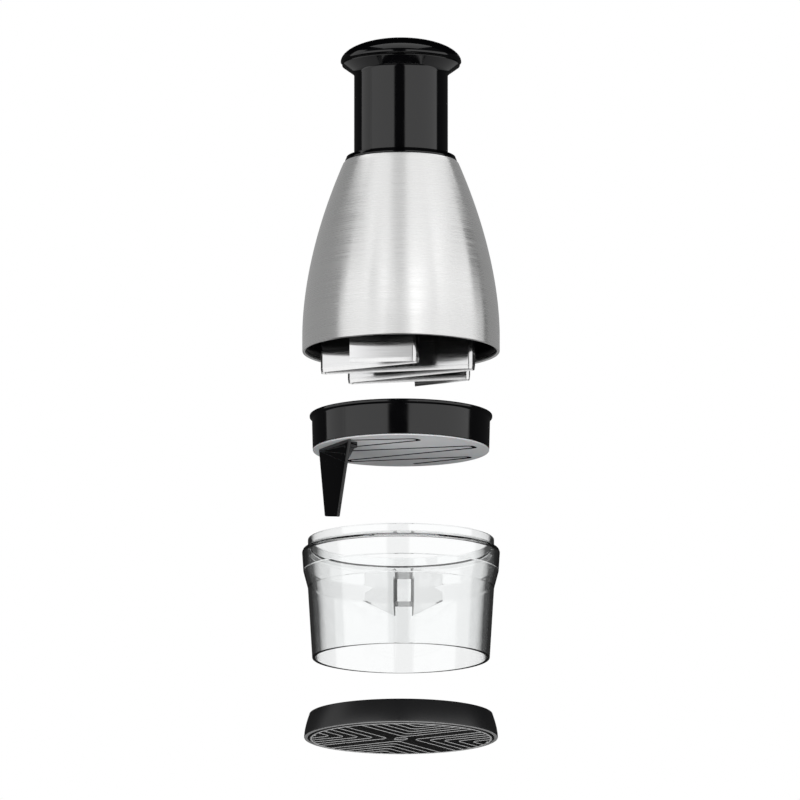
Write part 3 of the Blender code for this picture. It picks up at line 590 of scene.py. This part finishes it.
def pan_screw(node, head, shank, body):
    """A cross-recess pan-head screw on the axis and between the ends of its plain node."""
    low, high = (Vector(corner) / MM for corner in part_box(node))
    x, y = (low.x + high.x) / 2, (low.y + high.y) / 2
    head_up = node.startswith(("arm", "hub"))
    tall = high.z - low.z
    thick = 1.3 if head < 3 else 1.6
    profile = [(0.0, tall), (head * 0.55, tall - 0.12), (head * 0.9, tall - 0.55, 0.4),
               (head, tall - thick, 0.1), (shank, tall - thick)]
    turns = int((tall - thick - 1.2) / 0.8)
    for k in range(turns):
        top = tall - thick - 0.3 - 0.8 * k
        profile += [(shank, top), (shank * 0.8, top - 0.4)]
    profile += [(shank * 0.8, 0.6), (shank * 0.5, 0.0), (0.0, 0.0)]
    screw = turned(node + "_pan_head", profile, sides=32)
    for wide, deep in ((head * 0.95, 0.34), (0.34, head * 0.95)):
        def arm_of_cross(u, v, w):
            taper = between(0.45, 1.0, w)
            return (between(-wide, wide, u) * (taper if wide > deep else 1.0) * 0.62,
                    between(-deep, deep, v) * (taper if deep > wide else 1.0) * 0.62,
                    between(tall - 0.9, tall + 0.2, w))

        joined(screw, bent("recess", arm_of_cross, (1, 1, 1)), "DIFFERENCE")
    screw.rotation_euler = (0.0 if head_up else math.pi, 0.0, math.radians(37 * len(node) % 90))
    screw.location = (x * MM, y * MM, (low.z if head_up else high.z) * MM)
    return fitted(screw, body, "bright_steel", plated_steel, node)


for number in (1, 2):
    pan_screw(f"arm_screw_{number}", 2.2, 1.1, "disc")


# ---------------------------------------------------------------- bell
# The outer housing that the hand steadies: one steel sheet, spun over a former to a short straight
# skirt and a dome, then brushed round and round, with its mouth hemmed flat.

# Spun stainless steel, brushed on the lathe: fine level lines that stretch each reflection upright.
# Lines stand about 0.12 mm apart on the real one; they are drawn at 0.35 mm, with broader bands at
# 1.6 mm, so that they show.
brushed_steel = bpy.data.materials.new("spun_brushed_stainless")
brushed_steel.use_nodes = True
tree = brushed_steel.node_tree
tree.nodes.clear()
place = add(tree, "ShaderNodeTexCoord").outputs["Object"]
fine_room = add(tree, "ShaderNodeMapping", {"Vector": place,
                                            "Scale": (12.0, 12.0, 1 / (0.35 * MM))})
broad_room = add(tree, "ShaderNodeMapping", {"Vector": place,
                                             "Scale": (6.0, 6.0, 1 / (1.6 * MM))})
fine = add(tree, "ShaderNodeTexNoise", {"Vector": fine_room.outputs["Vector"], "Scale": 1.0,
                                        "Detail": 4.0, "Roughness": 0.7})
broad = add(tree, "ShaderNodeTexNoise", {"Vector": broad_room.outputs["Vector"], "Scale": 1.0,
                                         "Detail": 3.0, "Roughness": 0.6})
lines = add(tree, "ShaderNodeMix", {0: 0.4, 2: fine.outputs["Fac"], 3: broad.outputs["Fac"]},
            data_type="FLOAT")
tint = add(tree, "ShaderNodeMix", {0: lines.outputs[0], 6: colour("#cfcfcf"),
                                   7: colour("#dcdcdb")}, data_type="RGBA")
streak = add(tree, "ShaderNodeMapRange", {"Value": lines.outputs[0], "From Min": 0.3,
                                          "From Max": 0.7, "To Min": 0.20, "To Max": 0.36})
relief = add(tree, "ShaderNodeBump", {"Height": lines.outputs[0], "Strength": 0.12,
                                      "Distance": 0.03 * MM})
round_it = add(tree, "ShaderNodeTangent", direction_type="RADIAL", axis="Z")
shader = add(tree, "ShaderNodeBsdfPrincipled", {
    "Base Color": tint.outputs[2], "Roughness": streak.outputs["Result"], "Metallic": 1.0,
    "Anisotropic": 0.75, "Anisotropic Rotation": 0.25, "Normal": relief.outputs["Normal"],
    "Tangent": round_it.outputs["Tangent"]})
add(tree, "ShaderNodeOutputMaterial", {"Surface": shader.outputs["BSDF"]})

BELL_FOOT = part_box("bell_shell")[0][2] / MM
BELL_TALL = 96.6
BELL_WALL = 0.8
BELL_WIDEST, BELL_NECK = 49.4, 28.65
SKIRT_TOP = 8.7


def bell_radius(height):
    """Outer radius of the bell at a height above its mouth."""
    share = max(height - SKIRT_TOP, 0.0) / (BELL_TALL - SKIRT_TOP)
    return BELL_WIDEST - (BELL_WIDEST - BELL_NECK) * share ** 1.82


heights = [between(BELL_TALL - 1.0, SKIRT_TOP, i / 40) for i in range(41)]
outside = [(bell_radius(z), z) for z in heights] + [(BELL_WIDEST, 4.0)]
inside = [(r - BELL_WALL * 1.08, z - 0.2) for r, z in outside[::-1]]
bell = turned("bell_spinning", [(26.9, BELL_TALL - BELL_WALL, 0.2), (26.9, BELL_TALL, 0.2),
                                (28.3, BELL_TALL, 0.5)] + outside
              + [(BELL_WIDEST, 0.0, 0.7), (47.9, 0.0, 0.7), (47.9, 1.7, 0.2), (48.5, 1.8)]
              + inside
              + [(27.6, BELL_TALL - BELL_WALL, 0.3)], closed=True, sides=192, base=BELL_FOOT)
fitted(bell, "housing", "brushed_steel", brushed_steel, "bell_shell")


# ---------------------------------------------------------------- bell liner
# The moulded frame that fills the bell: a skirt inside the steel, a deck across it and the tube
# that guides the plunger. Satin black polypropylene.

DECK = (45.2, 47.5)
levels = [between(DECK[1] - 0.6, 2.0, i / 16) for i in range(17)]
liner = turned("bell_liner_moulding", [
    (25.4, 96.3, 0.3), (25.4, DECK[1], 1.5), (bell_radius(DECK[1]) - 2.0, DECK[1], 0.5)]
    + [(bell_radius(z) - 1.2, z) for z in levels]
    + [(bell_radius(z) - 2.5, z) for z in reversed(levels) if z < DECK[0] - 0.5]
    + [(bell_radius(DECK[0]) - 2.5, DECK[0], 1.0), (7.3, DECK[0], 0.3), (7.3, DECK[1], 0.3),
       (23.95, DECK[1], 0.8), (23.95, 96.3, 0.3)], closed=True, base=BELL_FOOT)
fitted(liner, "housing", "black_satin_pp", satin_pp, "bell_liner")


# ---------------------------------------------------------------- collar ring
# The thin ring at the bell's neck that clamps the steel to the frame and wipes the plunger.
# Gloss ABS with a rounded edge.

collar = turned("collar_ring_moulding", [
    (27.3, 99.3, 0.2), (27.4, 98.8), (28.0, 97.5, 0.3), (28.0, 96.9, 0.2), (26.6, 96.9),
    (26.6, 88.5, 0.2), (25.8, 88.5, 0.2), (25.8, 96.6), (24.0, 96.6, 0.2), (24.0, 97.2, 0.3),
    (25.2, 99.3, 0.3)], closed=True, base=BELL_FOOT)
fitted(collar, "housing", "black_gloss_abs", gloss_abs, "collar_ring")


# ---------------------------------------------------------------- index hub and spring seats
# The hub whose square hole turns the spindle, held on the deck by two screws, and the steel washers
# at the spring's ends. Their plain nodes have the right shape and only take their finishes.

def refinished(node, material):
    """Gives a plain node, left where it is, a worked finish."""
    for place_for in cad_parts[node].material_slots:
        place_for.material = material


refinished("index_hub", grey_acetal)
refinished("spindle_bearing", grey_acetal)
for node in ("spring_seat_lower", "spring_seat_upper", "spindle", "spindle_clip"):
    refinished(node, plated_steel)
for number in (1, 2):
    pan_screw(f"hub_screw_{number}", 1.9, 1.0, "housing")


# ---------------------------------------------------------------- return spring
# The compression spring that lifts the plunger: 1.6 mm wire in seven turns, its ends closed up and
# ground flat. The real one shortens towards its lower seat as the plunger goes down; this one is
# made at one length.

SPRING_RADIUS = 17.0
WIRE = 1.6
TURNS = 7
STEPS = 28
SIDES = 10
spring_low, spring_high = (corner[2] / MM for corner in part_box("return_spring"))
points, faces = [], []
for i in range(TURNS * STEPS + 1):
    share = i / (TURNS * STEPS)
    turn = math.tau * i / STEPS
    rise = share - math.sin(math.tau * share) / math.tau * 0.75
    middle = between(spring_low + WIRE / 2, spring_high - WIRE / 2, rise)
    for k in range(SIDES):
        bow = math.tau * k / SIDES
        out = SPRING_RADIUS + WIRE / 2 * math.cos(bow)
        points.append((out * math.cos(turn), out * math.sin(turn),
                       middle + WIRE / 2 * math.sin(bow)))
        if i:
            a, b = (i - 1) * SIDES + k, (i - 1) * SIDES + (k + 1) % SIDES
            faces.append((a, a + SIDES, b + SIDES, b))
faces += [tuple(range(SIDES)), tuple(range(TURNS * STEPS * SIDES, len(points)))[::-1]]
spring = fitted(shaped("return_spring_coil", points, faces), "housing", "bright_steel",
                plated_steel, "return_spring")
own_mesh(spring)


# ---------------------------------------------------------------- plunger sleeve
# The shaft that slides in the bell's guide tube; it flares to the flange that the knob sits on.
# Gloss ABS, polished by use where it runs in the collar.

sleeve_foot, sleeve_top = (corner[2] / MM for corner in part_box("plunger_sleeve"))
SHAFT_RADIUS = 23.5
FLARE_FILLET = 2.5
FLARE_EDGE = 29.0
FLARE_FOOT = sleeve_top - 6.2
swing = math.radians(54)
fillet = [(SHAFT_RADIUS + FLARE_FILLET * (1 - math.cos(turn)),
           FLARE_FOOT + FLARE_FILLET * math.sin(turn))
          for turn in (swing * (1 - i / 8) for i in range(9))]
edge = fillet[0][1] + (FLARE_EDGE - fillet[0][0]) / math.tan(swing)
sleeve = turned("plunger_sleeve_moulding", [
    (29.35, sleeve_top, 0.15), (29.6, sleeve_top - 0.5, 0.3), (FLARE_EDGE, edge, 1.6)] + fillet + [
    (SHAFT_RADIUS, sleeve_foot, 0.4), (22.0, sleeve_foot, 0.4), (22.0, sleeve_top - 2.0, 1.0),
    (6.9, sleeve_top - 2.0, 0.2), (6.9, sleeve_top)], closed=True)
fitted(sleeve, "plunger", "black_gloss_abs", gloss_abs, "plunger_sleeve")


# ---------------------------------------------------------------- knob
# The domed cap that the palm strikes, screwed to the sleeve's flare from inside.
# Gloss ABS, with a rounded lip and a shadow gap to the flare below it.

knob_low, knob_high = (corner[2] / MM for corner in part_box("knob_cap"))
KNOB_RADIUS = 30.25
DOME = 11.2
WIDEST = knob_high - DOME
dome = [(KNOB_RADIUS * math.sin(turn), WIDEST + DOME * math.cos(turn))
        for turn in (math.radians(90 * i / 30) for i in range(31))]
ceiling = [(28.0 * math.cos(turn), knob_low + 9.8 * math.sin(turn))
           for turn in (math.radians(90 * i / 12) for i in range(13))]
knob = turned("knob_cap_moulding",
              dome + [(30.0, WIDEST - 0.3), (29.3, knob_low, 0.2)] + ceiling)
fitted(knob, "plunger", "black_gloss_abs", gloss_abs, "knob_cap")
for number in (1, 2, 3):
    pan_screw(f"cap_screw_{number}", 2.2, 1.2, "plunger")


# ---------------------------------------------------------------- blade carrier and its screw
# The plate that holds the blade's upper edge in a groove, fixed under the spindle by one screw.
# Satin black polypropylene with glass fibre.

GROOVE_WIDE = 1.5
carrier_foot, carrier_top = (corner[2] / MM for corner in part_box("blade_carrier"))
carrier = turned("blade_carrier_moulding", [
    (0.0, carrier_top), (40.5, carrier_top, 0.6), (40.5, carrier_foot, 0.5), (0.0, carrier_foot)],
    sides=120)
joined(carrier, slot_tool(GROOVE_WIDE, carrier_foot - 1, carrier_foot + 2), "DIFFERENCE",
       folds_meet=True)
fitted(carrier, "cutter", "black_satin_pp", satin_pp, "blade_carrier")
pan_screw("carrier_screw", 4.0, 1.9, "cutter")


# ---------------------------------------------------------------- chopping blade
# One strip of hardened steel folded five times, so that its six runs make all the blades.
# Its faces are bright-rolled and its lower edge is ground from both sides.

# Bright-rolled spring steel: a near mirror with hair-fine level lines from the rolls, drawn 0.5 mm
# apart so that they show.
blade_steel = bpy.data.materials.new("bright_rolled_blade_steel")
blade_steel.use_nodes = True
tree = blade_steel.node_tree
tree.nodes.clear()
place = add(tree, "ShaderNodeTexCoord").outputs["Object"]
room = add(tree, "ShaderNodeMapping", {"Vector": place, "Scale": (30.0, 30.0, 1 / (0.5 * MM))})
rolled = add(tree, "ShaderNodeTexNoise", {"Vector": room.outputs["Vector"], "Scale": 1.0,
                                          "Detail": 3.0, "Roughness": 0.6})
tint = add(tree, "ShaderNodeMix", {0: rolled.outputs["Fac"], 6: colour("#d2d2d3"),
                                   7: colour("#e6e6e6")}, data_type="RGBA")
sheen = add(tree, "ShaderNodeMapRange", {"Value": rolled.outputs["Fac"], "From Min": 0.3,
                                         "From Max": 0.7, "To Min": 0.07, "To Max": 0.16})
relief = add(tree, "ShaderNodeBump", {"Height": rolled.outputs["Fac"], "Strength": 0.08,
                                      "Distance": 0.02 * MM})
shader = add(tree, "ShaderNodeBsdfPrincipled", {
    "Base Color": tint.outputs[2], "Roughness": sheen.outputs["Result"], "Metallic": 1.0,
    "Normal": relief.outputs["Normal"]})
add(tree, "ShaderNodeOutputMaterial", {"Surface": shader.outputs["BSDF"]})

# The ground edge: the same steel with short upright scratches from the wheel, drawn 0.4 mm apart
# so that they show.
ground_edge = bpy.data.materials.new("ground_blade_edge")
ground_edge.use_nodes = True
tree = ground_edge.node_tree
tree.nodes.clear()
place = add(tree, "ShaderNodeTexCoord").outputs["Object"]
room = add(tree, "ShaderNodeMapping", {"Vector": place,
                                       "Scale": (1 / (0.4 * MM), 1 / (0.4 * MM), 60.0)})
scratches = add(tree, "ShaderNodeTexNoise", {"Vector": room.outputs["Vector"], "Scale": 1.0,
                                             "Detail": 2.0})
tint = add(tree, "ShaderNodeMix", {0: scratches.outputs["Fac"], 6: colour("#dedede"),
                                   7: colour("#f2f2f2")}, data_type="RGBA")
relief = add(tree, "ShaderNodeBump", {"Height": scratches.outputs["Fac"], "Strength": 0.2,
                                      "Distance": 0.03 * MM})
shader = add(tree, "ShaderNodeBsdfPrincipled", {
    "Base Color": tint.outputs[2], "Roughness": 0.28, "Metallic": 1.0,
    "Normal": relief.outputs["Normal"]})
add(tree, "ShaderNodeOutputMaterial", {"Surface": shader.outputs["BSDF"]})

blade_foot, blade_top = (corner[2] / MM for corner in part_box("chopping_blade"))
GROUND = 2.2
KEEN = 0.06
half = STRIP_GAUGE / 2
blade_section = [(half, blade_foot + GROUND), (KEEN, blade_foot), (-KEEN, blade_foot),
                 (-half, blade_foot + GROUND), (-half, blade_top), (half, blade_top)]
blade = gathered("chopping_blade_strip", [ribbon(fold_line(), blade_section)])
blade.data.materials.append(blade_steel)
blade.data.materials.append(ground_edge)
for face in blade.data.polygons:
    face.use_smooth = True
    if max(blade.data.vertices[v].co.z for v in face.vertices) < (blade_foot + GROUND + 0.1) * MM:
        face.material_index = 1
fitted(blade, "cutter", "blade_steel", blade_steel, "chopping_blade")


# ---------------------------------------------------------------- floor, light and camera
# A white floor well below the camera, soft panels to the left and right of it with a dark gap
# between, and one long lens from a little below the dicer.

FLOOR_HALF, FLOOR_HEIGHT = 14.0, -2.6
floor_mesh = bpy.data.meshes.new("floor")
floor_mesh.from_pydata([(x * FLOOR_HALF, y * FLOOR_HALF, FLOOR_HEIGHT)
                        for x, y in ((-1, -1), (1, -1), (1, 1), (-1, 1))], [], [(0, 1, 2, 3)])
floor = bpy.data.objects.new("floor", floor_mesh)
bpy.context.scene.collection.objects.link(floor)
# Matt white paint, lit evenly of its own, as the panels don't reach it.
painted = bpy.data.materials.new("matt_white_floor_paint")
painted.use_nodes = True
paint = painted.node_tree.nodes["Principled BSDF"].inputs
paint["Base Color"].default_value = colour("#f4f4f4")
paint["Roughness"].default_value = 0.9
paint["Emission Color"].default_value = colour("#ffffff")
paint["Emission Strength"].default_value = 1.0
floor_mesh.materials.append(painted)
floor.visible_glossy = False
floor.visible_diffuse = False
floor.visible_shadow = False

studio = bpy.data.worlds.new("studio")
bpy.context.scene.world = studio
studio.use_nodes = True
tree = studio.node_tree
tree.nodes.clear()
where = add(tree, "ShaderNodeTexCoord").outputs["Generated"]
part = add(tree, "ShaderNodeSeparateXYZ", {"Vector": where})
front = add(tree, "ShaderNodeMath", {0: part.outputs["Y"], 1: -1.0}, operation="MULTIPLY")
swing = add(tree, "ShaderNodeMath", {0: part.outputs["X"], 1: front.outputs[0]},
            operation="ARCTAN2")
degrees = add(tree, "ShaderNodeMath", {0: swing.outputs[0]}, operation="DEGREES")
along = add(tree, "ShaderNodeMapRange", {"Value": degrees.outputs[0], "From Min": -180.0,
                                         "From Max": 180.0})
rise = add(tree, "ShaderNodeMath", {0: part.outputs["Z"]}, operation="ARCSINE")
rise = add(tree, "ShaderNodeMath", {0: rise.outputs[0]}, operation="DEGREES")
share = add(tree, "ShaderNodeMapRange", {"Value": rise.outputs[0], "From Min": -90.0,
                                         "From Max": 90.0})
panels = add(tree, "ShaderNodeValToRGB", {"Fac": along.outputs["Result"]})
reach = add(tree, "ShaderNodeValToRGB", {"Fac": share.outputs["Result"]})
flags = add(tree, "ShaderNodeValToRGB", {"Fac": along.outputs["Result"]})
# the panels' light by azimuth from the front, and how much of it by height, both in degrees
PANELS = [(-180, 0.03), (-81, 0.03), (-77, 1.1), (-60, 1.15), (-18, 1.15), (-15, 0.02),
          (8, 0.02), (11, 1.15), (97, 1.1), (101, 0.03), (180, 0.03)]
REACH = [(-90, 0.03), (-60, 0.05), (-45, 1.0), (22, 1.0), (27, 0.03), (90, 0.03)]
# the backdrop by azimuth, white with a black flag upright on either side of the cup
FLAGS = [(-180, 1.0), (-175.5, 1.0), (-173, 0.16), (-150, 0.10), (-142, 1.0), (142, 1.0),
         (150, 0.10), (173, 0.16), (175.5, 1.0), (180, 1.0)]
for node, stops, widest in ((panels, PANELS, 180), (reach, REACH, 90), (flags, FLAGS, 180)):
    ramp = node.color_ramp
    while len(ramp.elements) < len(stops):
        ramp.elements.new(0.5)
    for stop, (angle, light) in zip(ramp.elements, stops):
        stop.position = (angle + widest) / (2 * widest)
        stop.color = (light, light, light, 1.0)
glow = add(tree, "ShaderNodeMix", {0: 1.0, 6: panels.outputs["Color"], 7: reach.outputs["Color"]},
           data_type="RGBA", blend_type="MULTIPLY")
# Through the clear cup the backdrop shows, and its flags draw the cup's edges; paths that bounce
# about inside the wall see the panels instead. Both kinds are told apart by their number of steps.
BOTH_WALLS = 5.5
ONE_BOUNCE = 4.0
path = add(tree, "ShaderNodeLightPath")
short = add(tree, "ShaderNodeMath", {0: path.outputs["Ray Depth"], 1: BOTH_WALLS},
            operation="LESS_THAN")
bounced = add(tree, "ShaderNodeMath", {0: path.outputs["Ray Depth"], 1: ONE_BOUNCE, 2: 0.5},
              operation="COMPARE")
straight = add(tree, "ShaderNodeMath", {0: short.outputs[0], 1: bounced.outputs[0]},
               operation="SUBTRACT")
through = add(tree, "ShaderNodeMath", {0: path.outputs["Is Transmission Ray"],
                                       1: straight.outputs[0]}, operation="MULTIPLY")
behind = add(tree, "ShaderNodeMix", {0: through.outputs[0], 6: glow.outputs[2],
                                     7: flags.outputs["Color"]}, data_type="RGBA")
seen = add(tree, "ShaderNodeMix", {0: path.outputs["Is Camera Ray"], 6: behind.outputs[2],
                                   7: (1.0, 1.0, 1.0, 1.0)}, data_type="RGBA")
backdrop = add(tree, "ShaderNodeBackground", {"Color": seen.outputs[2], "Strength": 1.0})
add(tree, "ShaderNodeOutputWorld", {"Surface": backdrop.outputs["Background"]})

PANEL_AWAY = 6.0
PANEL_AIM = Vector((0.0, 0.0, 0.18))


def panel(name, azimuth, wide, low, high, glow, *pieces):
    """A soft panel 6 m away that spans these angles in degrees and lights only these pieces."""
    turn, lift = math.radians(azimuth), math.radians((low + high) / 2)
    lamp = bpy.data.lights.new(name, "AREA")
    lamp.shape = "RECTANGLE"
    lamp.size = 2 * PANEL_AWAY * math.tan(math.radians(wide / 2))
    lamp.size_y = 2 * PANEL_AWAY * math.tan(math.radians((high - low) / 2))
    lamp.energy = glow * math.pi * lamp.size * lamp.size_y
    light = bpy.data.objects.new(name, lamp)
    bpy.context.scene.collection.objects.link(light)
    light.location = PANEL_AIM + PANEL_AWAY * Vector((
        math.sin(turn) * math.cos(lift), -math.cos(turn) * math.cos(lift), math.sin(lift)))
    light.rotation_euler = (light.location - PANEL_AIM).to_track_quat("Z", "Y").to_euler()
    light.visible_camera = False
    lit = bpy.data.collections.new(name)
    for piece in pieces:
        lit.objects.link(piece)
    light.light_linking.receiver_collection = lit
    return light


def overhead(name, left, right, front, back, glow, *pieces):
    """A level panel 6 m up between these distances in metres, which lights only these pieces."""
    light = panel(name, 0, 20, 70, 110, glow, *pieces)
    light.location = ((left + right) / 2, (front + back) / 2, PANEL_AWAY)
    light.rotation_euler = (0.0, 0.0, 0.0)
    light.data.size = right - left
    light.data.size_y = back - front
    light.data.energy = glow * math.pi * light.data.size * light.data.size_y


panel("left_wing_for_plastic", -96, 34, -45, 42, 0.8, wiper_ring, collar, sleeve, knob, base_cap)
panel("overhead_for_knob", 0, 60, 50, 106, 0.9, knob)
panel("low_left_for_flare", -140, 70, -65, -15, 0.32, sleeve)
panel("low_right_for_flare", 140, 70, -65, -15, 0.32, sleeve)
panel("middle_for_steel", -3.5, 25, -40, 18, 0.75, bell)
panel("middle_for_blade", -13, 12, -30, 40, 0.55, blade)
overhead("overhead_left_for_steel", -6.4, -1.6, -26.0, 3.0, 1.15, bell)
overhead("overhead_middle_for_steel", -1.6, 0.9, -26.0, 3.0, 0.82, bell)
overhead("overhead_right_for_steel", 0.9, 8.2, -26.0, 5.0, 1.15, bell)
panel("left_shoulder_for_steel", -56, 30, 20, 36, 0.85, bell)
panel("right_shoulder_for_steel", 72, 50, 20, 36, 0.75, bell)
panel("right_edge_for_steel", 106, 16, -30, 20, 0.8, bell)
panel("left_back_for_steel", -130, 96, -45, 60, 0.36, bell)
panel("right_back_for_steel", 150, 60, -45, 60, 0.32, bell)
panel("low_front_for_disc", 0, 100, -60, -8, 2.4, disc)
panel("low_front_for_base", 0, 100, -60, -8, 2.4, base_cap, grip_pad, grip_ribs, grip_boss)

bpy.context.scene.view_settings.view_transform = "Standard"

lens = bpy.data.cameras.new("long_lens")
lens.lens = 1080.0
lens.clip_end = 100.0
camera = bpy.data.objects.new("camera", lens)
bpy.context.scene.collection.objects.link(camera)
CAMERA_AWAY = 12.0
BELOW = math.radians(10.5)
target = Vector((-0.0005, 0.0, 0.172))
camera.location = target + Vector((0.0, -math.cos(BELOW), -math.sin(BELOW))) * CAMERA_AWAY
camera.rotation_euler = (target - camera.location).to_track_quat("-Z", "Y").to_euler()
bpy.context.scene.camera = camera
